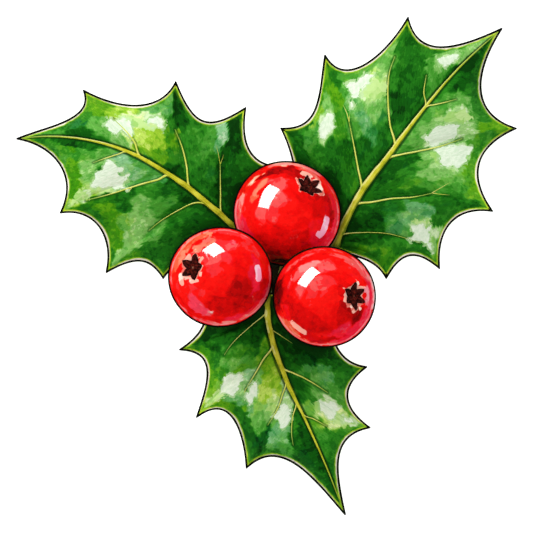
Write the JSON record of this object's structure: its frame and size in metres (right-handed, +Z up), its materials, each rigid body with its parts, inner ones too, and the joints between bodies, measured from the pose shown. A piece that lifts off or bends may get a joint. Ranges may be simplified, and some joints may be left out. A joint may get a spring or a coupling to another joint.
{
  "type": "holly sprig",
  "caption": "Cut holly sprig lying flat: glossy, wavy-edged spiny leaves around a cluster of round red berries on short stalks, joined by a short twig.",
  "frame": {"origin": "on the surface that the sprig lies on, under the middle of its bounding box", "axes": "+Z straight up from the surface, towards the viewer who looks down on the sprig; +Y towards the side where the two upper leaves point; +X to the right as seen from above"},
  "size_m": [0.0598, 0.0594, 0.023],
  "materials": {
    "leaf": "gloss",
    "berry": "gloss",
    "calyx": "matte",
    "pedicel": "satin",
    "twig": "satin"
  },
  "bodies": {
    "root": {"twig": "twig", "leaf_left": "leaf", "leaf_right": "leaf", "leaf_lower": "leaf", "berry_top": "berry", "berry_left": "berry", "berry_right": "berry", "calyx_top": "calyx", "calyx_left": "calyx", "calyx_right": "calyx", "pedicel_top": "pedicel", "pedicel_left": "pedicel", "pedicel_right": "pedicel"}
  },
  "joints": []
}
